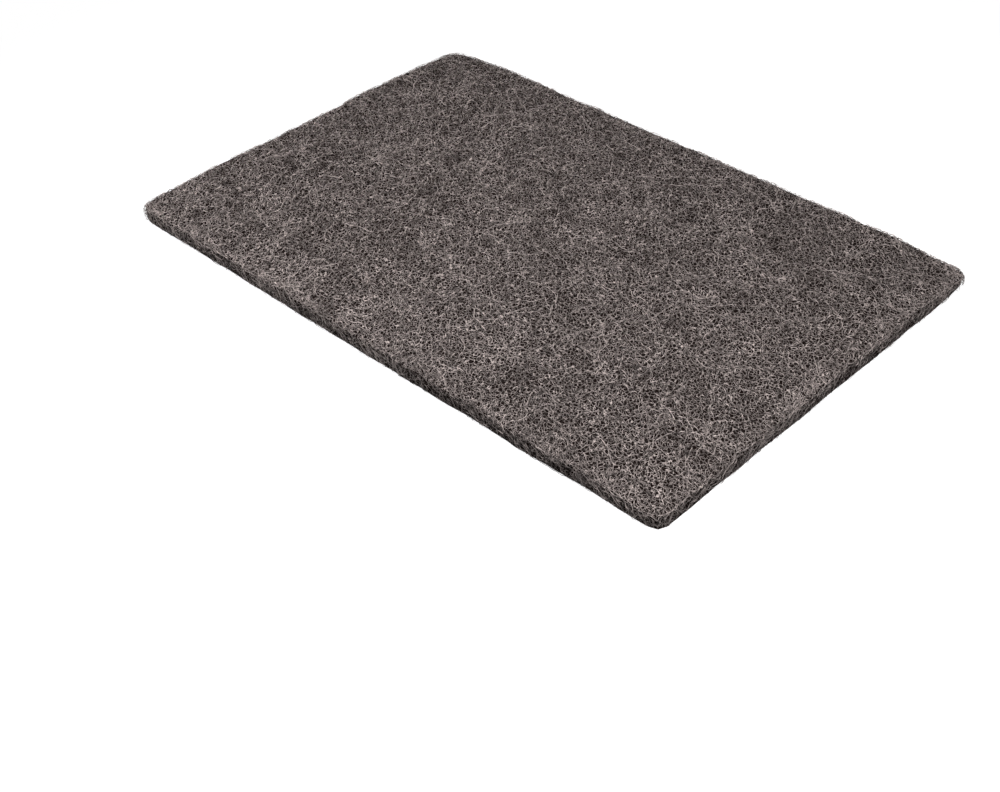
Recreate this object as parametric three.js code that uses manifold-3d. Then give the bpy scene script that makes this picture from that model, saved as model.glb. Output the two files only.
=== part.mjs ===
// Abrasive hand pad: a flat rectangle die-cut from a lofty web of crimped nylon fibres.
// It is one soft piece. Its walls are rolled over softly where the die has pressed them, the cut
// line wanders a little, the upper face is uneven, and the corners sit lower than the rest.
// Millimetres, +Z up, long side along X. The origin is the centre of the flat underside.

import * as THREE from "three";
import { ImprovedNoise } from "three/addons/math/ImprovedNoise.js";
import { mergeVertices } from "three/addons/utils/BufferGeometryUtils.js";
import Module from "manifold-3d";

// Overall size of the cut pad
const PAD_LENGTH = 228.6;
const PAD_WIDTH = 152.4;
const PAD_THICKNESS = 6.4;

// The cut wall: depth of the roll-over at its top and foot, and how square its section is
const EDGE_ROLL = 1.5;
const WALL_SQUARENESS = 4;

// Plan radius of each corner
const LEFT_CORNER_RADIUS = 3.5;
const NEAR_CORNER_RADIUS = 4.5;
const RIGHT_CORNER_RADIUS = 6;
const FAR_CORNER_RADIUS = 6.5;

// The upper face falls away towards the four edges, and further at each corner
const EDGE_FALL = 0.35;
const EDGE_FALL_REACH = 14;
const CORNER_FALL_REACH = 34;
const LEFT_CORNER_FALL = 0.6;
const NEAR_CORNER_FALL = 0.9;
const RIGHT_CORNER_FALL = 1.8;
const FAR_CORNER_FALL = 1.5;

// The right corner is pinched by handling, so its underside lifts clear of the table
const RIGHT_CORNER_LIFT = 1.5;
const RIGHT_CORNER_LIFT_REACH = 22;

// Unevenness of the web: broad swells and finer tufts on the face, and the wander of the cut line
const SWELL_HEIGHT = 0.35;
const SWELL_SPAN = 42;
const TUFT_HEIGHT = 0.3;
const TUFT_SPAN = 11;
const CUT_WANDER = 0.45;
const CUT_WANDER_SPAN = 17;
const CUT_WANDER_REACH = 10;

// Mesh: spacing of the points on the face, rows of points up the wall, and the depth trimmed off below
const FACE_PITCH = 4.2;
const WALL_ROWS = 8;
const UNDERSIDE_TRIM = 0.4;

const WEB_COLOUR = 0x655c5a;
const WEB_ROUGHNESS = 0.95;

const { clamp, lerp, smoothstep } = THREE.MathUtils;
const HALF_LENGTH = PAD_LENGTH / 2;
const HALF_WIDTH = PAD_WIDTH / 2;

// Each corner as the way it points in plan, its radius, and how far the face falls there
const RIGHT_CORNER = { sideX: 1, sideY: 1, radius: RIGHT_CORNER_RADIUS, fall: RIGHT_CORNER_FALL };
const CORNERS = [
  { sideX: -1, sideY: -1, radius: LEFT_CORNER_RADIUS, fall: LEFT_CORNER_FALL },
  { sideX: 1, sideY: -1, radius: NEAR_CORNER_RADIUS, fall: NEAR_CORNER_FALL },
  { sideX: -1, sideY: 1, radius: FAR_CORNER_RADIUS, fall: FAR_CORNER_FALL },
  RIGHT_CORNER,
];

// Depths at which the noise is sliced, one for each kind of unevenness, so that no two are alike
const SWELL_SLICE = 0.5;
const TUFT_SLICE = 1.5;
const CUT_SLICE = 2.5;

const perlin = new ImprovedNoise();

// Smooth noise in plan, between about -1 and 1, with swells and hollows half a span across
function unevenness(x, y, span, slice) {
  return perlin.noise((2 * x) / span, (2 * y) / span, slice);
}

// 1 at nothing away, falling smoothly to 0 at the reach
function fade(away, reach) {
  return 1 - smoothstep(away, 0, reach);
}

function distanceToEdge(x, y) {
  return Math.min(HALF_LENGTH - Math.abs(x), HALF_WIDTH - Math.abs(y));
}

function distanceToCorner(x, y, corner) {
  return Math.hypot(x - corner.sideX * HALF_LENGTH, y - corner.sideY * HALF_WIDTH);
}

// The square corner of a plain rectangle, drawn in to a quarter circle
function roundCorner(x, y) {
  const { radius } = CORNERS.find(({ sideX, sideY }) => x * sideX >= 0 && y * sideY >= 0);
  const coreX = clamp(x, radius - HALF_LENGTH, HALF_LENGTH - radius);
  const coreY = clamp(y, radius - HALF_WIDTH, HALF_WIDTH - radius);
  const outX = x - coreX;
  const outY = y - coreY;
  const reach = Math.hypot(outX, outY);
  const share = reach > 0 ? Math.max(Math.abs(outX), Math.abs(outY)) / reach : 1;
  return new THREE.Vector2(coreX + outX * share, coreY + outY * share);
}

// The wall's section, from 0 at its foot to 1 at its top: how far it stands in from the outline,
// and its share of the height there. It is half of a superellipse.
function wallSection(up) {
  const angle = (up - 0.5) * Math.PI;
  const power = 2 / WALL_SQUARENESS;
  const out = Math.abs(Math.cos(angle)) ** power;
  const rise = Math.sign(angle) * Math.abs(Math.sin(angle)) ** power;
  return { inset: EDGE_ROLL * (1 - out), rise: (1 + rise) / 2 };
}

// Height of the upper face over a point of the plan
function faceHeight(x, y) {
  let height = PAD_THICKNESS - EDGE_FALL * fade(distanceToEdge(x, y), EDGE_FALL_REACH);
  for (const corner of CORNERS) {
    height -= corner.fall * fade(distanceToCorner(x, y, corner), CORNER_FALL_REACH);
  }
  height += SWELL_HEIGHT * unevenness(x, y, SWELL_SPAN, SWELL_SLICE);
  return height + TUFT_HEIGHT * unevenness(x, y, TUFT_SPAN, TUFT_SLICE);
}

// Height of the untrimmed underside, which is below the table except at the pinched corner
function undersideHeight(x, y) {
  const lift = RIGHT_CORNER_LIFT + UNDERSIDE_TRIM;
  return lift * fade(distanceToCorner(x, y, RIGHT_CORNER), RIGHT_CORNER_LIFT_REACH) - UNDERSIDE_TRIM;
}

// Moves a point of a plain block, one unit high, to its place on the pad
function placePoint(point) {
  const { inset, rise } = wallSection(point.z + 0.5);
  const plan = roundCorner(point.x, point.y);
  const atEdge = fade(distanceToEdge(point.x, point.y), CUT_WANDER_REACH);
  const wander = CUT_WANDER * atEdge * unevenness(plan.x, plan.y, CUT_WANDER_SPAN, CUT_SLICE);
  const x = plan.x * (1 + (wander - inset) / HALF_LENGTH);
  const y = plan.y * (1 + (wander - inset) / HALF_WIDTH);
  point.set(x, y, lerp(undersideHeight(x, y), faceHeight(x, y), rise));
}

// A block with a grid of points on every face, shaped point by point into the soft pad
function softBlock() {
  const along = Math.ceil(PAD_LENGTH / FACE_PITCH);
  const across = Math.ceil(PAD_WIDTH / FACE_PITCH);
  const block = new THREE.BoxGeometry(PAD_LENGTH, PAD_WIDTH, 1, along, across, WALL_ROWS);
  block.deleteAttribute("normal");
  block.deleteAttribute("uv");
  const geometry = mergeVertices(block);
  const places = geometry.getAttribute("position");
  const point = new THREE.Vector3();
  for (let i = 0; i < places.count; i++) {
    placePoint(point.fromBufferAttribute(places, i));
    places.setXYZ(i, point.x, point.y, point.z);
  }
  return geometry;
}

const wasm = await Module();
wasm.setup();

function solidOf(geometry) {
  return new wasm.Manifold(
    new wasm.Mesh({
      numProp: 3,
      vertProperties: new Float32Array(geometry.getAttribute("position").array),
      triVerts: new Uint32Array(geometry.index.array),
    }),
  );
}

function geometryOf(solid) {
  const { vertProperties, triVerts } = solid.getMesh();
  const geometry = new THREE.BufferGeometry();
  geometry.setAttribute("position", new THREE.BufferAttribute(vertProperties, 3));
  geometry.setIndex(new THREE.BufferAttribute(triVerts, 1));
  return geometry;
}

// What lies below the table is cut off, which leaves the pad one flat face to rest on
function trimUnderside(geometry) {
  const depth = PAD_THICKNESS + UNDERSIDE_TRIM;
  const below = new THREE.BoxGeometry(2 * PAD_LENGTH, 2 * PAD_WIDTH, depth);
  below.translate(0, 0, -depth / 2);
  below.deleteAttribute("normal");
  below.deleteAttribute("uv");
  return geometryOf(solidOf(geometry).subtract(solidOf(mergeVertices(below))));
}

// Puts the middle of the pad's outline over the origin
function centreInPlan(geometry) {
  geometry.computeBoundingBox();
  const middle = geometry.boundingBox.getCenter(new THREE.Vector3());
  return geometry.translate(-middle.x, -middle.y, 0);
}

function makePad() {
  const geometry = centreInPlan(trimUnderside(softBlock()));
  geometry.computeVertexNormals();
  const web = new THREE.MeshStandardMaterial({
    color: WEB_COLOUR,
    roughness: WEB_ROUGHNESS,
    metalness: 0,
  });
  const pad = new THREE.Mesh(geometry, web);
  pad.name = "pad";
  return pad;
}

const handPad = new THREE.Group();
handPad.add(makePad());

export default handPad;
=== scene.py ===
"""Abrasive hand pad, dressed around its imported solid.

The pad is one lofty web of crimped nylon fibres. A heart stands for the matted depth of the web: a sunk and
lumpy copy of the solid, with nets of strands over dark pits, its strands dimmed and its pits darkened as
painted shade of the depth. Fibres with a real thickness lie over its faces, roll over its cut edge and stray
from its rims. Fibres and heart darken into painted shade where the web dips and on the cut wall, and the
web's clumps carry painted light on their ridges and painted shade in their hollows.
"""

import math
from typing import NamedTuple

import bmesh
import bpy
import numpy as np
from bpy.props import FloatProperty, FloatVectorProperty, IntProperty, PointerProperty
from mathutils import Matrix, Vector
from mathutils.bvhtree import BVHTree


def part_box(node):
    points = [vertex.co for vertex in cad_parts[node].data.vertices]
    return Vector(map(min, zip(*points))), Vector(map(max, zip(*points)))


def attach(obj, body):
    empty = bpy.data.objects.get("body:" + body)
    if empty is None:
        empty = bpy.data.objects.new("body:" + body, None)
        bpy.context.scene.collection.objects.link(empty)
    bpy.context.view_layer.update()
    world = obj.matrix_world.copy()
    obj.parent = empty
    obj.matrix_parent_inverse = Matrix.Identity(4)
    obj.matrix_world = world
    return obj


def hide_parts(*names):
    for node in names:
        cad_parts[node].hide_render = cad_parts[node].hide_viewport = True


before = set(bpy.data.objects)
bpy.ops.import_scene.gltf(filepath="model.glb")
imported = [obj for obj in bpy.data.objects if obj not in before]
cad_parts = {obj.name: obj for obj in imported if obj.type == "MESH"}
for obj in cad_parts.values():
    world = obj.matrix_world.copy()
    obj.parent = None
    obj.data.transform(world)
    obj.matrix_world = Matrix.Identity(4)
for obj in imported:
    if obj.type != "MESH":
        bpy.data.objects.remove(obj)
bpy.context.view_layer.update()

bl_info = {
    "name": "Abrasive Hand Pad",
    "version": (1, 0, 0),
    "blender": (4, 5, 0),
    "location": "3D View > Sidebar > Hand Pad",
    "description": "Dresses the packed hand pad in its web of crimped fibres",
    "category": "Object",
}

PAD_NODE = "pad"
BODY = "root"
PAD_LOW, PAD_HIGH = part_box(PAD_NODE)
WALL_HEIGHT = PAD_HIGH.z - PAD_LOW.z
MM = 0.001
QUARTER_TURN = math.pi / 2
FULL_TURN = 2 * math.pi
TINY = 1e-9
WHITE = (1.0, 1.0, 1.0, 1.0)
BLACK = (0.0, 0.0, 0.0, 1.0)

# The heart's mesh. A normal's rise is 0 on the cut wall and 1 on the level faces.
MERGE_GAP = 0.01 * MM
ROUNDING_STEPS = 10
ROUNDING_SHARE = 0.5
LUMP_DEPTH = 2
LUMP_MIDDLE = 0.5
# The painted shade of the heart's cut wall fades out between these two rises of its normal.
WALL_RISE = 0.1
FACE_RISE = 0.6

# The texture map, made for the looks to be baked into. Its sizes are shares of the map, or of one cell. A
# face whose normal rises less than the steepest face's is on a wall, and the first two walls run along Y.
BAKE_MAP = "OFBake"
CELL_REACH = 0.35
MAP_MARGIN = 0.01
FACE_TALL = 0.44
UNDERSIDE_FOOT = 0.45
WALLS_FOOT = 0.9
WALL_PITCH = 0.025
WALL_TALL = 0.02
STEEPEST_FACE = 0.5
WALLS_ALONG_Y = 2

# The run of a fibre: its swing and wander are angles, its stray's bend is a power, the rest are shares.
LEAST_SWING = 0.2
MOST_SWING = 0.55
WANDER = 0.25
WEAVE_JITTER = 0.3
LEAST_STRAY = 0.3
STRAY_BEND = 1.5
# Between these shares of the edge roll a fibre fades into the painted shade of the cut wall.
ROLL_START = 0.5
ROLL_END = 1.5

# The body of a fibre: its range of thickness, the beads of resin along it, and the heights in the web below
# which it darkens into painted shade of the depth and above which it is pale. The shortest run is a count of
# points.
THINNEST = 0.75
THICKEST = 1.25
BEAD_SWELL = 0.15
BEAD_TURN = 1.7
PAINTED_SHADE_BELOW = 0.42
PALE_ABOVE = 0.75
# The mesh attribute that holds each vertex's tone with its painted shade in it.
SHADED_TONE = "tone"
SECTION_SIDES = 3
SHORTEST_RUN = 4

# Where the fibres start, and the seeds of their random draws.
FACE_LAYERS = 3
WALL_BAND = 1.0 * MM
HAIR_BAND = 0.6 * MM
UNDERSIDE_OVERLAP = 2.0 * MM
FACE_SEED = 11
EDGE_SEED = 23
UNDERSIDE_SEED = 37

# Nets of strands in the finishes. The bend warps a net, and the core and fringe are shares of a strand.
BEND_RATE = 0.7
BEND_REACH = 1.6
NOISE_MIDDLE = 0.5
STRAND_CORE = 0.4
STRAND_FRINGE = 1.6
# The lower net shows at this share of the upper net, dimmer as painted shade of its depth.
LOWER_SHARE = 0.32

# Clumps in the web, painted as light on their ridges and shade in their hollows, with their strength at the
# pad's two ends.
CLUMP_STRAND = 0.22
CLUMP_SHIFT = 0.59
CLUMP_MIDDLE = 0.55
CLUMPING_AT_LOW_X = 0.55
CLUMPING_AT_HIGH_X = 0.15

# The colour sockets of a Mix node go by number, because its names repeat.
MIX_FIRST = 6
MIX_SECOND = 7
MIX_COLOUR = 2

# The camera's near limit, and where the floor's shadow starts to fade, as a share of its reach.
NEAR_CLIP = 0.01
SHADOW_START = 0.6


class FibreKind(NamedTuple):
    """How one kind of fibre is spun. Its shades are shares of the pale colour, and its thickness and weave
    are shares of the web's."""

    points: int
    dimmest: float
    palest: float
    thickness: float = 1.0
    least_weave: float = 0.3
    most_weave: float = 1.1


class Net(NamedTuple):
    """A net of strands. The span is the size of a gap, the strand is half a strand's width as a share of the
    span, and the shift gives a pattern of its own."""

    span: float
    strand: float
    shift: float


class Blotch(NamedTuple):
    """A pattern of noise by which a shade is multiplied, from dimmest where the noise is low to brightest
    where it is high. The shift gives a pattern of its own."""

    span: float
    shift: float
    dimmest: float
    brightest: float
    low: float = 0.3
    high: float = 0.7
    detail: float = 1.0


FACE_FIBRE = FibreKind(points=12, dimmest=0.3, palest=1.2)
LONG_FIBRE = FibreKind(points=28, dimmest=0.3, palest=0.95, thickness=0.9, most_weave=0.7)
WALL_FIBRE = FibreKind(points=12, dimmest=0.5, palest=1.0)
HAIR = FibreKind(points=6, dimmest=0.6, palest=1.1, thickness=0.27)
UNDERSIDE_FIBRE = FibreKind(points=18, dimmest=0.85, palest=1.0)

UPPER_NET = Net(span=1.0 * MM, strand=0.06, shift=0.11)
LOWER_NET = Net(span=0.8 * MM, strand=0.055, shift=0.37)

PATCHES = Blotch(span=30 * MM, shift=0.71, dimmest=0.8, brightest=1.0)
# The heart's first blotch is mottle and painted shade at once: its low range keeps the heart dimmer than the
# fibres over it, as shade of the depth.
HEART_BLOTCHES = (
    Blotch(span=9 * MM, shift=0.93, dimmest=0.39, brightest=0.64, detail=2.0),
    PATCHES,
    Blotch(span=0.9 * MM, shift=0.29, dimmest=0.7, brightest=1.3, low=0.36, high=0.62),
)
FIBRE_BLOTCHES = (
    Blotch(span=8 * MM, shift=0.53, dimmest=0.85, brightest=1.0, detail=2.0),
    PATCHES,
    Blotch(span=0.8 * MM, shift=0.21, dimmest=0.7, brightest=1.1, low=0.38, high=0.58),
)


class PadWeb(bpy.types.PropertyGroup):
    """Sizes of the web and its fibres"""

    heart_depth: FloatProperty(
        name="Heart depth", description="How far the heart lies under the pad's surface",
        default=0.4 * MM, min=0, unit="LENGTH")
    heart_cuts: IntProperty(
        name="Heart cuts", description="Cuts in each edge of the packed solid, for the heart",
        default=2, min=1)
    heart_relief: FloatProperty(
        name="Heart relief", description="Height of the lumps and pits in the heart",
        default=0.3 * MM, min=0, unit="LENGTH")
    lump_span: FloatProperty(
        name="Lump span", description="Size of one lump in the heart",
        default=3.5 * MM, min=0.0005, unit="LENGTH")
    clump_span: FloatProperty(
        name="Clump span", description="Size of the loose hollows between the matted ridges of the web",
        default=4.5 * MM, min=0.001, unit="LENGTH")
    corner_radius: FloatProperty(
        name="Corner radius", description="Plan radius of the pad's corners, for the fold of the fibres",
        default=5.0 * MM, min=0.001, unit="LENGTH")
    edge_roll: FloatProperty(
        name="Edge roll", description="Radius at which the fibres roll over the cut edge",
        default=1.6 * MM, min=0.0001, unit="LENGTH")
    fibre_diameter: FloatProperty(
        name="Fibre diameter", description="Thickness of a fibre with its coat of resin",
        default=0.17 * MM, min=0.00001, unit="LENGTH")
    fibre_step: FloatProperty(
        name="Fibre step", description="Spacing of the points along a fibre",
        default=0.9 * MM, min=0.0001, unit="LENGTH")
    crimp_short: FloatProperty(
        name="Shortest crimp", description="Length of the shortest wave along a fibre",
        default=4.0 * MM, min=0.001, unit="LENGTH")
    crimp_long: FloatProperty(
        name="Longest crimp", description="Length of the longest wave along a fibre",
        default=8.0 * MM, min=0.001, unit="LENGTH")
    weave: FloatProperty(
        name="Weave", description="How far a fibre rises and dips on its way through the web",
        default=0.4 * MM, min=0, unit="LENGTH")
    weave_short: FloatProperty(
        name="Shortest weave", description="Shortest way from one rise of a fibre to the next",
        default=2.0 * MM, min=0.001, unit="LENGTH")
    weave_long: FloatProperty(
        name="Longest weave", description="Longest way from one rise of a fibre to the next",
        default=3.2 * MM, min=0.001, unit="LENGTH")
    deep_middle: FloatProperty(
        name="Deepest middle", description="Stand of the deepest fibres, halfway between rise and dip",
        default=-0.35 * MM, unit="LENGTH")
    high_middle: FloatProperty(
        name="Highest middle", description="Stand of the highest fibres, halfway between rise and dip",
        default=0.05 * MM, unit="LENGTH")
    top_stand: FloatProperty(
        name="Highest fibre", description="How far the highest fibres stand out from the pad's surface",
        default=0.3 * MM, unit="LENGTH")
    low_stand: FloatProperty(
        name="Lowest fibre", description="How deep the lowest fibres lie under the pad's surface",
        default=-0.65 * MM, unit="LENGTH")
    lay: FloatProperty(
        name="Lay", description="Direction along which the web was drawn out",
        default=math.radians(-45), subtype="ANGLE")
    stretch: FloatProperty(
        name="Stretch", description="How much longer the gaps of the web are along its lay",
        default=1.35, min=0.1)
    face_fibres: IntProperty(
        name="Face fibres", description="Fibres in each layer of the upper face", default=880, min=1)
    long_fibres: IntProperty(
        name="Long fibres", description="Long fibres that lie on top of the upper face", default=750, min=1)
    wall_fibres: IntProperty(
        name="Wall fibres", description="Fibres along the cut wall", default=850, min=1)
    # Painted shade of the cut wall: how much darker the fibres are made there.
    fibre_wall_painted_shade: FloatProperty(
        name="Wall dimming", description="How much darker the fibres are on the cut wall than on the faces",
        default=0.32, min=0, max=1, subtype="FACTOR")
    # Painted shade of the cut wall on the heart.
    heart_wall_painted_shade: FloatProperty(
        name="Pit dimming", description="How much darker the heart is at the cut wall than at the faces",
        default=0.55, min=0, max=1, subtype="FACTOR")
    stray_hairs: IntProperty(
        name="Stray hairs", description="Thin hairs that stray from the upper rim", default=1800, min=1)
    low_hairs: IntProperty(
        name="Low hairs", description="Thin hairs that stray from the lower rim", default=500, min=1)
    stray: FloatProperty(
        name="Stray", description="How far the ends of the stray hairs stand off",
        default=0.9 * MM, min=0, unit="LENGTH")
    under_fibres: IntProperty(
        name="Underside fibres", description="Fibres on the underside", default=620, min=1)


class PadFinish(bpy.types.PropertyGroup):
    """Colours and gloss of the web"""

    pale: FloatVectorProperty(
        name="Pale fibre", description="Colour of the fibres at the top of the web",
        default=(0.95, 0.815, 0.775), size=3, subtype="COLOR", min=0, max=1)
    # Painted shade of the web's depth: its pits and its deepest fibres go towards this colour.
    deep: FloatVectorProperty(
        name="Deep web", description="Colour of the fibres and pits in the depth of the web",
        default=(0.008, 0.0045, 0.0038), size=3, subtype="COLOR", min=0, max=1)
    fibre_roughness: FloatProperty(
        name="Fibre roughness", description="Roughness of the resin on the fibres",
        default=0.55, min=0, max=1, subtype="FACTOR")
    fibre_gloss: FloatProperty(
        name="Fibre gloss", description="Strength of the shine of the resin on the fibres",
        default=0.3, min=0, max=1, subtype="FACTOR")
    heart_roughness: FloatProperty(
        name="Heart roughness", description="Roughness of the matted heart",
        default=0.8, min=0, max=1, subtype="FACTOR")
    strand_height: FloatProperty(
        name="Strand height", description="How far the heart's nets of strands seem to stand out",
        default=0.25 * MM, min=0, unit="LENGTH")


class PadStage(bpy.types.PropertyGroup):
    """Camera, lamps and floor"""

    azimuth: FloatProperty(
        name="Azimuth", description="Turn of the camera round the pad",
        default=math.radians(45.35), subtype="ANGLE")
    elevation: FloatProperty(
        name="Elevation", description="Height of the camera above the horizon",
        default=math.radians(39.44), subtype="ANGLE")
    roll: FloatProperty(
        name="Roll", description="Turn of the camera about its own axis",
        default=math.radians(-2.10), subtype="ANGLE")
    lens: FloatProperty(
        name="Lens", description="Focal length in millimetres", default=56.6, min=1, unit="CAMERA")
    aim: FloatVectorProperty(
        name="Aim", description="Point that the camera looks at",
        default=(0.0487, -0.0677, 0.0064), size=3, subtype="TRANSLATION", unit="LENGTH")
    distance: FloatProperty(
        name="Distance", description="From the camera to its aim", default=0.4476, min=0.01, unit="LENGTH")
    floor_span: FloatProperty(
        name="Floor span", description="Side of the square floor", default=8.0, min=1, unit="LENGTH")
    floor_seen: FloatVectorProperty(
        name="Floor colour", description="Part of the floor's white that takes the pad's shadow",
        default=(0.6, 0.6, 0.6), size=3, subtype="COLOR", min=0, max=1)
    floor_glow: FloatVectorProperty(
        name="Floor glow", description="Part of the floor's white that takes no shadow, by the pad",
        default=(0.8, 0.8, 0.8), size=3, subtype="COLOR", min=0, max=1)
    shadow_reach: FloatProperty(
        name="Shadow reach", description="How far from the pad's middle the floor turns pure white",
        default=0.27, min=0.1, unit="LENGTH")
    floor_bounce: FloatVectorProperty(
        name="Floor bounce", description="Colour of the light that the floor throws back at the pad",
        default=(0.12, 0.12, 0.12), size=3, subtype="COLOR", min=0, max=1)
    sky: FloatProperty(
        name="Sky", description="Strength of the even light from all round", default=0.11, min=0)
    front_power: FloatProperty(
        name="Front lamp", description="Power of the near lamp in front", default=0.95, min=0, unit="POWER")
    front_place: FloatVectorProperty(
        name="Front lamp's place", description="Where the lamp in front hangs",
        default=(-0.03, -0.17, 0.295), size=3, subtype="TRANSLATION", unit="LENGTH")
    front_span: FloatProperty(
        name="Front lamp's span", description="Side of the square lamp in front",
        default=0.25, min=0.01, unit="LENGTH")
    side_power: FloatProperty(
        name="Side lamp", description="Power of the near lamp at the side", default=1.02, min=0, unit="POWER")
    side_place: FloatVectorProperty(
        name="Side lamp's place", description="Where the lamp at the side hangs",
        default=(0.34, -0.1, 0.26), size=3, subtype="TRANSLATION", unit="LENGTH")
    side_span: FloatProperty(
        name="Side lamp's span", description="Side of the square lamp at the side",
        default=0.2, min=0.01, unit="LENGTH")


def settings():
    scene = bpy.context.scene
    return scene.pad_web, scene.pad_finish, scene.pad_stage


class Value:
    """One output of a node. Operators on it add Math nodes."""

    def __init__(self, finish, socket):
        self.finish = finish
        self.socket = socket

    def __add__(self, other):
        return self.finish.maths("ADD", self, other)

    def __radd__(self, other):
        return self.finish.maths("ADD", other, self)

    def __sub__(self, other):
        return self.finish.maths("SUBTRACT", self, other)

    def __rsub__(self, other):
        return self.finish.maths("SUBTRACT", other, self)

    def __mul__(self, other):
        return self.finish.maths("MULTIPLY", self, other)

    def __rmul__(self, other):
        return self.finish.maths("MULTIPLY", other, self)

    def __or__(self, other):
        return self.finish.maths("MAXIMUM", self, other)

    def __ror__(self, other):
        return self.finish.maths("MAXIMUM", other, self)


class Finish:
    """The node tree of a material or of the world"""

    def __init__(self, owner):
        owner.use_nodes = True
        self.tree = owner.node_tree
        self.tree.nodes.clear()

    def node(self, kind, changes=None, inputs=None, output=0):
        """Adds a node, changes its settings, sets or links its sockets, and gives one of its outputs"""
        made = self.tree.nodes.new(kind)
        for name, value in (changes or {}).items():
            setattr(made, name, value)
        for name, value in (inputs or {}).items():
            if isinstance(value, Value):
                self.tree.links.new(value.socket, made.inputs[name])
            else:
                made.inputs[name].default_value = value
        return Value(self, made.outputs[output]) if made.outputs else None

    def maths(self, operation, *values):
        return self.node("ShaderNodeMath", {"operation": operation}, dict(enumerate(values)))

    def vectors(self, operation, *values):
        return self.node("ShaderNodeVectorMath", {"operation": operation}, dict(enumerate(values)))

    def between(self, value, low, high, at_low=0.0, at_high=1.0):
        """A smooth step from at_low to at_high as value goes from low to high"""
        return self.node(
            "ShaderNodeMapRange", {"interpolation_type": "SMOOTHSTEP"},
            {"Value": value, "From Min": low, "From Max": high, "To Min": at_low, "To Max": at_high})

    def mixed(self, factor, first, second):
        return self.node(
            "ShaderNodeMix", {"data_type": "RGBA"},
            {"Factor": factor, MIX_FIRST: first, MIX_SECOND: second}, output=MIX_COLOUR)

    def place(self):
        return self.node("ShaderNodeTexCoord", output="Object")

    def noise(self, place, scale, detail=1.0, output="Fac"):
        return self.node(
            "ShaderNodeTexNoise", {"noise_dimensions": "3D"},
            {"Vector": place, "Scale": scale, "Detail": detail}, output=output)


def opaque(rgb):
    return (*rgb, 1.0)


def strands(finish, place, net):
    """A net of crooked strands on a surface, 1 along the strands and 0 in the gaps"""
    bend = finish.noise(place, BEND_RATE / net.span, output="Color")
    centred = finish.vectors("SUBTRACT", bend, (NOISE_MIDDLE,) * 3)
    warped = finish.vectors("MULTIPLY_ADD", centred, (BEND_REACH * net.span,) * 3, place)
    moved = finish.vectors("ADD", warped, (net.shift,) * 3)
    edge = finish.node(
        "ShaderNodeTexVoronoi", {"feature": "DISTANCE_TO_EDGE"},
        {"Vector": moved, "Scale": 1 / net.span}, output="Distance")
    return finish.between(edge, STRAND_CORE * net.strand, STRAND_FRINGE * net.strand, 1.0, 0.0)


def drawn_out_place(finish, web):
    """Object coordinates, drawn out along the lay of the web"""
    return finish.node(
        "ShaderNodeMapping", {"vector_type": "TEXTURE"},
        {"Vector": finish.place(), "Rotation": (0, 0, web.lay), "Scale": (web.stretch, 1, 1)})


def clump_light_and_shade(finish, web):
    """Painted light and shade of the web's clumps: brighter along the matted ridges and darker in the loose
    hollows between them, and more so towards the end of the pad at -X"""
    clumps = Net(web.clump_span, CLUMP_STRAND, CLUMP_SHIFT)
    ridge = strands(finish, drawn_out_place(finish, web), clumps)
    along = finish.node("ShaderNodeSeparateXYZ", None, {"Vector": finish.place()}, output="X")
    strength = finish.between(along, PAD_LOW.x, PAD_HIGH.x, CLUMPING_AT_LOW_X, CLUMPING_AT_HIGH_X)
    return 1 + strength * (ridge - CLUMP_MIDDLE)


def shaded_mesh_tone(finish):
    """The tone that the mesh has at each place, dark to pale, with its painted shade in it"""
    return finish.node("ShaderNodeAttribute", {"attribute_name": SHADED_TONE}, output="Fac")


def web_colour(finish, shade, place, blotches):
    """A colour from the deep colour to pale by the shade, broken up by the blotches and by the painted light
    and shade of the clumps. The deep colour is painted shade of the depth.
    """
    web, look, _ = settings()
    for blotch in blotches:
        moved = finish.vectors("ADD", place, (blotch.shift,) * 3)
        noise = finish.noise(moved, 1 / blotch.span, blotch.detail)
        shade = shade * finish.between(noise, blotch.low, blotch.high, blotch.dimmest, blotch.brightest)
    shade = shade * clump_light_and_shade(finish, web)
    return finish.mixed(shade, opaque(look.deep), opaque(look.pale))


def heart_material():
    """The matted depth of the web: nets of strands over dark pits, the strands dimmed and the pits darkened
    as painted shade of the depth
    """
    web, look, _ = settings()
    material = bpy.data.materials.new("web_heart")
    finish = Finish(material)
    place = drawn_out_place(finish, web)
    height = strands(finish, place, UPPER_NET) | LOWER_SHARE * strands(finish, place, LOWER_NET)
    colour = web_colour(finish, shaded_mesh_tone(finish) * height * height, place, HEART_BLOTCHES)
    bump = finish.node(
        "ShaderNodeBump", None,
        {"Strength": 1.0, "Distance": look.strand_height, "Height": height}, output="Normal")
    shader = finish.node(
        "ShaderNodeBsdfPrincipled", None,
        {"Base Color": colour, "Roughness": look.heart_roughness, "Specular IOR Level": 0.0, "Normal": bump})
    finish.node("ShaderNodeOutputMaterial", None, {"Surface": shader})
    return material


def fibre_material():
    """Nylon with resin and grain on it: pale at the top of the web, and darkened by painted shade where the
    fibre dips
    """
    _, look, _ = settings()
    material = bpy.data.materials.get("web_fibre")
    if material:
        return material
    material = bpy.data.materials.new("web_fibre")
    finish = Finish(material)
    colour = web_colour(finish, shaded_mesh_tone(finish), finish.place(), FIBRE_BLOTCHES)
    shader = finish.node(
        "ShaderNodeBsdfPrincipled", None,
        {"Base Color": colour, "Roughness": look.fibre_roughness, "Specular IOR Level": look.fibre_gloss})
    finish.node("ShaderNodeOutputMaterial", None, {"Surface": shader})
    return material


def read_all(items, name, kind, width=1):
    """One value of every item, as an array with a row for each"""
    values = np.empty(len(items) * width, kind)
    items.foreach_get(name, values)
    return values.reshape(-1, width) if width > 1 else values


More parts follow.
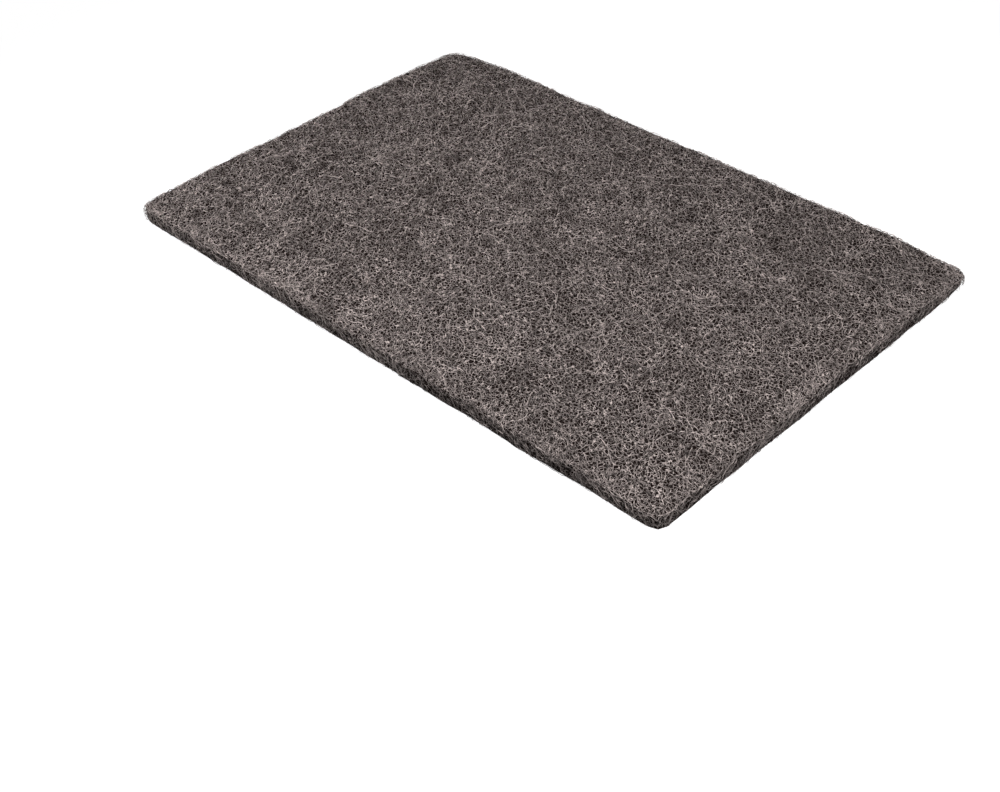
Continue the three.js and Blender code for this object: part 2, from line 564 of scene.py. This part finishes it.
def write_shaded_tones(mesh, shaded_tones):
    """Gives each vertex of the mesh its tone with its painted shade in it, which the finishes read"""
    values = mesh.attributes.new(SHADED_TONE, "FLOAT", "POINT").data
    values.foreach_set("value", shaded_tones.astype(np.float32))


def write_map(mesh, spots):
    """Gives the mesh one texture map, with a spot for each corner of each face"""
    while mesh.uv_layers:
        mesh.uv_layers.remove(mesh.uv_layers[0])
    mesh.uv_layers.new(name=BAKE_MAP).data.foreach_set("uv", spots.astype(np.float32).ravel())


def map_in_cells(mesh):
    """A texture map with one small square cell for each face, in rows"""
    starts = read_all(mesh.polygons, "loop_start", np.int32)
    counts = read_all(mesh.polygons, "loop_total", np.int32)
    side = math.ceil(math.sqrt(len(starts)))
    face = np.repeat(np.arange(len(starts)), counts)
    turn = (np.arange(len(face)) - starts[face]) / counts[face] * FULL_TURN
    middle = np.stack([face % side, face // side], axis=1) + 0.5
    write_map(mesh, (middle + CELL_REACH * np.stack([np.cos(turn), np.sin(turn)], axis=1)) / side)


def map_in_plan(mesh):
    """A texture map of the whole web: the upper face, the underside above it, and a strip for each wall"""
    counts = read_all(mesh.polygons, "loop_total", np.int32)
    normals = np.repeat(read_all(mesh.polygon_normals, "vector", np.float32, 3), counts, axis=0)
    places = read_all(mesh.vertices, "co", np.float32, 3)
    low, high = places.min(axis=0), places.max(axis=0)
    x, y, z = ((places[read_all(mesh.loops, "vertex_index", np.int32)] - low) / (high - low)).T
    wall = np.abs(normals[:, 2]) < STEEPEST_FACE
    facing = np.stack([normals[:, 0], -normals[:, 0], normals[:, 1], -normals[:, 1]], axis=1)
    side = facing.argmax(axis=1)
    u = np.where(wall & (side < WALLS_ALONG_Y), y, x)
    v = np.where(normals[:, 2] > 0, FACE_TALL * y, UNDERSIDE_FOOT + FACE_TALL * y)
    v = np.where(wall, WALLS_FOOT + WALL_PITCH * side + WALL_TALL * z, v)
    write_map(mesh, MAP_MARGIN + (1 - 2 * MAP_MARGIN) * np.stack([u, v], axis=1))


def add_object(name, data):
    """Adds an object to the scene, at the origin"""
    made = bpy.data.objects.new(name, data)
    bpy.context.scene.collection.objects.link(made)
    return made


def add_piece(name, mesh):
    """Every piece of the web rides on the pad's one body, with the one material slot that its mesh brings"""
    piece = add_object(name, mesh)
    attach(piece, BODY)
    return piece


def finished_mesh(name, source):
    """The mesh that an object shows, with its bevel or its modifiers applied"""
    bpy.context.view_layer.update()
    mesh = bpy.data.meshes.new_from_object(source.evaluated_get(bpy.context.evaluated_depsgraph_get()))
    mesh.name = name
    return mesh


def pad_skin():
    """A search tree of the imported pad's surface"""
    bm = bmesh.new()
    bm.from_mesh(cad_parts[PAD_NODE].data)
    skin = BVHTree.FromBMesh(bm)
    bm.free()
    return skin


def smooth_step(values, low, high):
    share = np.clip((values - low) / (high - low), 0, 1)
    return share * share * (3 - 2 * share)


def even_starts(rng, count, half):
    """Plan starts spread evenly over a rectangle, one in each cell of a grid, in a random order"""
    columns = round(math.sqrt(count * half[0] / half[1]))
    rows = math.ceil(count / columns)
    cells = rng.permutation(columns * rows)[:count]
    spots = np.stack([cells % columns, cells // columns], axis=1) + rng.uniform(0, 1, (count, 2))
    return half * (2 * spots / (columns, rows) - 1)


def band_starts(rng, count, inner, outer):
    """Plan starts in a band along the pad's outline, from inner inside it to outer past it"""
    near = np.array(PAD_HIGH.xy) - inner
    far = np.array(PAD_HIGH.xy) + outer
    starts = np.empty((0, 2))
    while len(starts) < count:
        drawn = rng.uniform(-far, far, (count, 2))
        starts = np.concatenate([starts, drawn[(np.abs(drawn) > near).any(axis=1)]])
    return starts[:count]


def crimped_paths(rng, starts, points, web):
    """Plan paths of crimped fibres, as an array by fibre, point and axis"""
    count = len(starts)
    along = np.arange(points) * web.fibre_step
    heading = rng.uniform(0, FULL_TURN, (count, 1))
    wave = rng.uniform(web.crimp_short, web.crimp_long, (count, 1))
    swing = rng.uniform(LEAST_SWING, MOST_SWING, (count, 1))
    phase = rng.uniform(0, FULL_TURN, (count, 1))
    wander = np.cumsum(rng.normal(0, WANDER, (count, points)), axis=1)
    angle = heading + swing * np.sin(FULL_TURN * along / wave + phase) + wander
    steps = web.fibre_step * np.stack([np.cos(angle), np.sin(angle)], axis=-1)
    lay = np.array((math.cos(web.lay), math.sin(web.lay)))
    drawn_out = steps + (web.stretch - 1) * (steps @ lay)[..., None] * lay
    return starts[:, None, :] + np.cumsum(drawn_out, axis=1)


def fold_over_edge(plan, web):
    """Places on the pad for plan points, with those past its outline rolled over the edge and down the wall.
    Returns the places and how far each has dropped below the face."""
    core = np.array(PAD_HIGH.xy) - web.corner_radius
    nearest = np.clip(plan, -core, core)
    out = plan - nearest
    reach = np.linalg.norm(out, axis=-1, keepdims=True)
    way = out / np.maximum(reach, TINY)
    past = np.maximum(reach - (web.corner_radius - web.edge_roll), 0)
    turn = np.minimum(past / web.edge_roll, QUARTER_TURN)
    drop = web.edge_roll * (1 - np.cos(turn)) + past - web.edge_roll * turn
    stand = reach - past + web.edge_roll * np.sin(turn)
    return np.concatenate([nearest + way * stand, PAD_HIGH.z - drop], axis=-1), drop[..., 0]


def settle(skin, places, stands):
    """Each place moved to the pad's surface, and out from it by its stand"""
    settled = np.empty_like(places)
    for i, place in enumerate(places):
        spot, normal, _, _ = skin.find_nearest(place)
        settled[i] = spot + normal * stands[i]
    return settled


def woven_fibres(rng, skin, starts, kind, depths, stray=0.0, turned=False):
    """Crimped fibres of one kind from plan starts, woven about stands between two depths. Gives each fibre's
    path, radii and the tone at each point, darkened by painted shade where the fibre dips into the web and
    where it runs down the wall. The ends of straying fibres lift off the pad, turned fibres lie on the
    underside, and all end short of the far rim of the wall."""
    web, _, _ = settings()
    places, drop = fold_over_edge(crimped_paths(rng, starts, kind.points, web), web)
    if turned:
        places[..., 2] = PAD_LOW.z + PAD_HIGH.z - places[..., 2]
    inside = drop < WALL_HEIGHT - web.edge_roll / 2
    ends = np.where(inside.all(axis=1), kind.points, inside.argmin(axis=1))
    # Painted shade of the cut wall, fading in as the fibre rolls over the edge.
    on_wall = smooth_step(drop, ROLL_START * web.edge_roll, ROLL_END * web.edge_roll)
    wall_shade = 1 - web.fibre_wall_painted_shade * on_wall
    # Turned fibres stand no higher than a fibre's width under the surface, so they keep most of the painted
    # shade of the depth.
    ceiling = -web.fibre_diameter if turned else web.top_stand
    along = np.arange(kind.points)
    beads = 1 + BEAD_SWELL * np.sin(BEAD_TURN * along)
    lift = (along / kind.points) ** STRAY_BEND
    fibres = []
    for i, end in enumerate(ends):
        wave = rng.uniform(web.weave_short, web.weave_long) / web.fibre_step
        swell = web.weave * rng.uniform(kind.least_weave, kind.most_weave)
        rise = swell * np.sin(FULL_TURN * along / wave + rng.uniform(0, FULL_TURN))
        rise += WEAVE_JITTER * swell * rng.normal(0, 1, kind.points)
        stands = np.clip(rng.uniform(*depths) + rise, web.low_stand, ceiling)
        height = (stands - web.low_stand) / (web.top_stand - web.low_stand)
        shade = rng.uniform(kind.dimmest, kind.palest)
        # Painted shade: the tone darkens where the fibre dips into the web and where it runs down the cut
        # wall.
        shaded_tones = shade * smooth_step(height, PAINTED_SHADE_BELOW, PALE_ABOVE) * wall_shade[i]
        stands = stands + stray * rng.uniform(LEAST_STRAY, 1) * lift
        radii = kind.thickness * rng.uniform(THINNEST, THICKEST) * beads
        if end >= SHORTEST_RUN:
            path = settle(skin, places[i, :end], stands)
            # No fibre hangs below the face that the pad rests on.
            path[:, 2] = np.maximum(path[:, 2], PAD_LOW.z + web.fibre_diameter)
            fibres.append((path, radii[:end], shaded_tones[:end]))
    return fibres


def fibre_section(web):
    """A three-sided section for the fibres"""
    curve = bpy.data.curves.new("fibre_section", "CURVE")
    spline = curve.splines.new("POLY")
    spline.points.add(SECTION_SIDES - 1)
    radius = web.fibre_diameter / 2
    for i, point in enumerate(spline.points):
        turn = FULL_TURN * i / SECTION_SIDES
        point.co = (radius * math.cos(turn), radius * math.sin(turn), 0, 1)
    spline.use_cyclic_u = True
    return add_object("fibre_section", curve)


def close_ends(mesh):
    """Fills the open end of every tube"""
    bm = bmesh.new()
    bm.from_mesh(mesh)
    rims = [edge for edge in bm.edges if edge.is_boundary]
    bmesh.ops.holes_fill(bm, edges=rims, sides=SECTION_SIDES)
    bm.to_mesh(mesh)
    bm.free()


def spin_fibres(name, fibres):
    """Adds one piece of many fibres, each a closed three-sided tube along its path"""
    web, _, _ = settings()
    curve = bpy.data.curves.new(name, "CURVE")
    curve.dimensions = "3D"
    section = fibre_section(web)
    curve.bevel_mode = "OBJECT"
    curve.bevel_object = section
    for path, radii, _ in fibres:
        spline = curve.splines.new("POLY")
        spline.points.add(len(path) - 1)
        spline.points.foreach_set("co", np.c_[path, np.ones(len(path))].astype(np.float32).ravel())
        spline.points.foreach_set("radius", radii.astype(np.float32))
        spline.use_smooth = True
    curve.materials.append(fibre_material())
    lines = add_object(name + "_line", curve)
    mesh = finished_mesh(name, lines)
    shaded_tones = np.concatenate([tone for _, _, tone in fibres])
    write_shaded_tones(mesh, np.repeat(shaded_tones, SECTION_SIDES))
    for used in (lines, section):
        data = used.data
        bpy.data.objects.remove(used)
        bpy.data.curves.remove(data)
    close_ends(mesh)
    map_in_cells(mesh)
    add_piece(name, mesh)


class PAD_OT_heart(bpy.types.Operator):
    """Makes the matted heart of the web, with its nets of strands and the painted shade of its cut wall"""

    bl_idname = "pad.make_heart"
    bl_label = "Make the heart of the web"

    def execute(self, context):
        web, _, _ = settings()
        form = add_object("heart_form", self.cut_copy(web))
        self.add_modifiers(form, web)
        mesh = finished_mesh("web_heart", form)
        bpy.data.objects.remove(form)
        mesh.materials.clear()
        mesh.materials.append(heart_material())
        mesh.shade_smooth()
        map_in_plan(mesh)
        # Painted shade: the heart darkens where its normal is steep, on the cut wall.
        normals = read_all(mesh.vertex_normals, "vector", np.float32, 3)
        level = smooth_step(np.abs(normals[:, 2]), WALL_RISE, FACE_RISE)
        write_shaded_tones(mesh, 1 - web.heart_wall_painted_shade * (1 - level))
        heart = add_piece("web_heart", mesh)
        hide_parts(PAD_NODE)
        return {"FINISHED"}

    def cut_copy(self, web):
        """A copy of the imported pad's mesh, merged and cut finer"""
        bm = bmesh.new()
        bm.from_mesh(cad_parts[PAD_NODE].data)
        bmesh.ops.remove_doubles(bm, verts=bm.verts, dist=MERGE_GAP)
        bmesh.ops.subdivide_edges(bm, edges=bm.edges, cuts=web.heart_cuts, use_grid_fill=True)
        mesh = bpy.data.meshes.new("heart_rough")
        bm.to_mesh(mesh)
        bm.free()
        return mesh

    def add_modifiers(self, form, web):
        """Sinks the form under the pad's surface, rounds it and gives it lumps"""
        sink = form.modifiers.new("sink", "DISPLACE")
        sink.strength = -web.heart_depth
        sink.mid_level = 0.0
        rounding = form.modifiers.new("rounding", "SMOOTH")
        rounding.factor = ROUNDING_SHARE
        rounding.iterations = ROUNDING_STEPS
        lumps = bpy.data.textures.new("heart_lumps", "CLOUDS")
        lumps.noise_scale = web.lump_span
        lumps.noise_depth = LUMP_DEPTH
        relief = form.modifiers.new("relief", "DISPLACE")
        relief.texture = lumps
        relief.strength = web.heart_relief
        relief.mid_level = LUMP_MIDDLE


class PAD_OT_face(bpy.types.Operator):
    """Lays crimped fibres over the upper face and its edges, in layers, and long fibres on top"""

    bl_idname = "pad.lay_face"
    bl_label = "Lay the face fibres"

    def execute(self, context):
        web, _, _ = settings()
        skin = pad_skin()
        rng = np.random.default_rng(FACE_SEED)
        half = np.array(PAD_HIGH.xy) + WALL_HEIGHT / 2
        depths = (web.deep_middle, web.high_middle)
        for layer in range(FACE_LAYERS):
            starts = even_starts(rng, web.face_fibres, half)
            fibres = woven_fibres(rng, skin, starts, FACE_FIBRE, depths)
            spin_fibres(f"face_fibres_{layer + 1}", fibres)
        depths = (web.deep_middle / 2, 2 * web.high_middle)
        starts = even_starts(rng, web.long_fibres, half)
        spin_fibres("long_fibres", woven_fibres(rng, skin, starts, LONG_FIBRE, depths))
        return {"FINISHED"}


class PAD_OT_edge(bpy.types.Operator):
    """Lays the strands of the cut wall, and the thin hairs that stray from the upper and lower rims"""

    bl_idname = "pad.lay_edge"
    bl_label = "Lay the edge fibres"

    def execute(self, context):
        web, _, _ = settings()
        skin = pad_skin()
        rng = np.random.default_rng(EDGE_SEED)
        depths = (web.deep_middle, web.high_middle)
        starts = band_starts(rng, web.wall_fibres, WALL_BAND, WALL_HEIGHT)
        spin_fibres("edge_fibres", woven_fibres(rng, skin, starts, WALL_FIBRE, depths))
        depths = (web.high_middle, web.top_stand)
        starts = band_starts(rng, web.stray_hairs, HAIR_BAND, web.edge_roll / 2)
        hairs = woven_fibres(rng, skin, starts, HAIR, depths, web.stray)
        starts = band_starts(rng, web.low_hairs, 0.0, web.edge_roll / 2)
        hairs += woven_fibres(rng, skin, starts, HAIR, depths, web.stray, turned=True)
        spin_fibres("stray_hairs", hairs)
        return {"FINISHED"}


class PAD_OT_underside(bpy.types.Operator):
    """Lays crimped fibres over the underside, pressed flat where the pad rests and dark with painted shade"""

    bl_idname = "pad.lay_underside"
    bl_label = "Lay the underside fibres"

    def execute(self, context):
        web, _, _ = settings()
        skin = pad_skin()
        rng = np.random.default_rng(UNDERSIDE_SEED)
        half = np.array(PAD_HIGH.xy) + UNDERSIDE_OVERLAP
        depths = (web.deep_middle, web.high_middle)
        starts = even_starts(rng, web.under_fibres, half)
        fibres = woven_fibres(rng, skin, starts, UNDERSIDE_FIBRE, depths, turned=True)
        spin_fibres("underside_fibres", fibres)
        return {"FINISHED"}


class PAD_OT_stage(bpy.types.Operator):
    """Sets the floor, the lamps, the backdrop and the camera"""

    bl_idname = "pad.set_stage"
    bl_label = "Set the stage"

    def execute(self, context):
        _, _, stage = settings()
        scene = context.scene
        scene.view_settings.view_transform = "Standard"
        # Guides that aren't blurred first keep the fibres crisp where a render is denoised.
        scene.cycles.denoising_prefilter = "NONE"
        self.lay_floor(stage)
        self.light_backdrop(stage)
        self.hang_lamp("front_lamp", Vector(stage.front_place), stage.front_span, stage.front_power)
        self.hang_lamp("side_lamp", Vector(stage.side_place), stage.side_span, stage.side_power)
        self.place_camera(stage)
        return {"FINISHED"}

    def lay_floor(self, stage):
        bm = bmesh.new()
        bmesh.ops.create_grid(bm, x_segments=1, y_segments=1, size=stage.floor_span / 2)
        mesh = bpy.data.meshes.new("floor")
        bm.to_mesh(mesh)
        bm.free()
        floor = add_object("floor", mesh)
        material = bpy.data.materials.new("floor")
        finish = Finish(material)
        seen = self.seen(finish)
        reach = finish.node(
            "ShaderNodeVectorMath", {"operation": "LENGTH"}, {0: finish.place()}, output="Value")
        far = finish.between(reach, SHADOW_START * stage.shadow_reach, stage.shadow_reach)
        shaded = finish.mixed(far, opaque(stage.floor_seen), BLACK)
        glow = finish.mixed(far, opaque(stage.floor_glow), WHITE)
        colour = finish.mixed(seen, opaque(stage.floor_bounce), shaded)
        emission = finish.mixed(seen, BLACK, glow)
        shader = finish.node(
            "ShaderNodeBsdfPrincipled", None,
            {"Base Color": colour, "Roughness": 1.0, "Specular IOR Level": 0.0,
             "Emission Color": emission, "Emission Strength": 1.0})
        finish.node("ShaderNodeOutputMaterial", None, {"Surface": shader})
        mesh.materials.append(material)

    def seen(self, finish):
        """1 for what the camera sees, straight or in a shiny or clear surface"""
        camera = finish.node("ShaderNodeLightPath", output="Is Camera Ray")
        glossy = finish.node("ShaderNodeLightPath", output="Is Glossy Ray")
        through = finish.node("ShaderNodeLightPath", output="Is Transmission Ray")
        return camera | glossy | through

    def light_backdrop(self, stage):
        world = bpy.data.worlds.new("studio")
        bpy.context.scene.world = world
        finish = Finish(world)
        strength = finish.between(self.seen(finish), 0.0, 1.0, stage.sky, 1.0)
        shader = finish.node("ShaderNodeBackground", None, {"Color": WHITE, "Strength": strength})
        finish.node("ShaderNodeOutputWorld", None, {"Surface": shader})

    def hang_lamp(self, name, place, span, power):
        """A square lamp that faces the middle of the pad"""
        lamp = bpy.data.lights.new(name, "AREA")
        lamp.shape = "SQUARE"
        lamp.size = span
        lamp.energy = power
        hung = add_object(name, lamp)
        hung.location = place
        hung.rotation_mode = "QUATERNION"
        hung.rotation_quaternion = (-place).to_track_quat("-Z", "Y")

    def place_camera(self, stage):
        data = bpy.data.cameras.new("camera")
        data.lens = stage.lens
        data.clip_start = NEAR_CLIP
        camera = add_object("camera", data)
        a, e = stage.azimuth, stage.elevation
        back = Vector((math.sin(a) * math.cos(e), -math.cos(a) * math.cos(e), math.sin(e)))
        right = Vector((math.cos(a), math.sin(a), 0))
        up = back.cross(right)
        turned_right = right * math.cos(stage.roll) + up * math.sin(stage.roll)
        turned_up = up * math.cos(stage.roll) - right * math.sin(stage.roll)
        axes = Matrix((turned_right, turned_up, back)).transposed().to_4x4()
        camera.matrix_world = Matrix.Translation(Vector(stage.aim) + back * stage.distance) @ axes
        bpy.context.scene.camera = camera


class PAD_PT_sidebar(bpy.types.Panel):
    """Lists the steps that dress the pad, with their sizes and colours"""

    bl_idname = "PAD_PT_sidebar"
    bl_label = "Abrasive Hand Pad"
    bl_space_type = "VIEW_3D"
    bl_region_type = "UI"
    bl_category = "Hand Pad"

    def draw(self, context):
        column = self.layout.column()
        for operator in OPERATORS:
            column.operator(operator.bl_idname)
        for group in settings():
            for name in group.__annotations__:
                column.prop(group, name)


OPERATORS = (PAD_OT_stage, PAD_OT_heart, PAD_OT_face, PAD_OT_edge, PAD_OT_underside)
GROUPS = {"pad_web": PadWeb, "pad_finish": PadFinish, "pad_stage": PadStage}
CLASSES = (*GROUPS.values(), *OPERATORS, PAD_PT_sidebar)


def register():
    for cls in CLASSES:
        bpy.utils.register_class(cls)
    for name, group in GROUPS.items():
        setattr(bpy.types.Scene, name, PointerProperty(type=group))


def unregister():
    for name in GROUPS:
        delattr(bpy.types.Scene, name)
    for cls in reversed(CLASSES):
        bpy.utils.unregister_class(cls)


def main():
    register()
    bpy.ops.pad.set_stage()
    bpy.ops.pad.make_heart()
    bpy.ops.pad.lay_face()
    bpy.ops.pad.lay_edge()
    bpy.ops.pad.lay_underside()


if __name__ == "__main__":
    main()
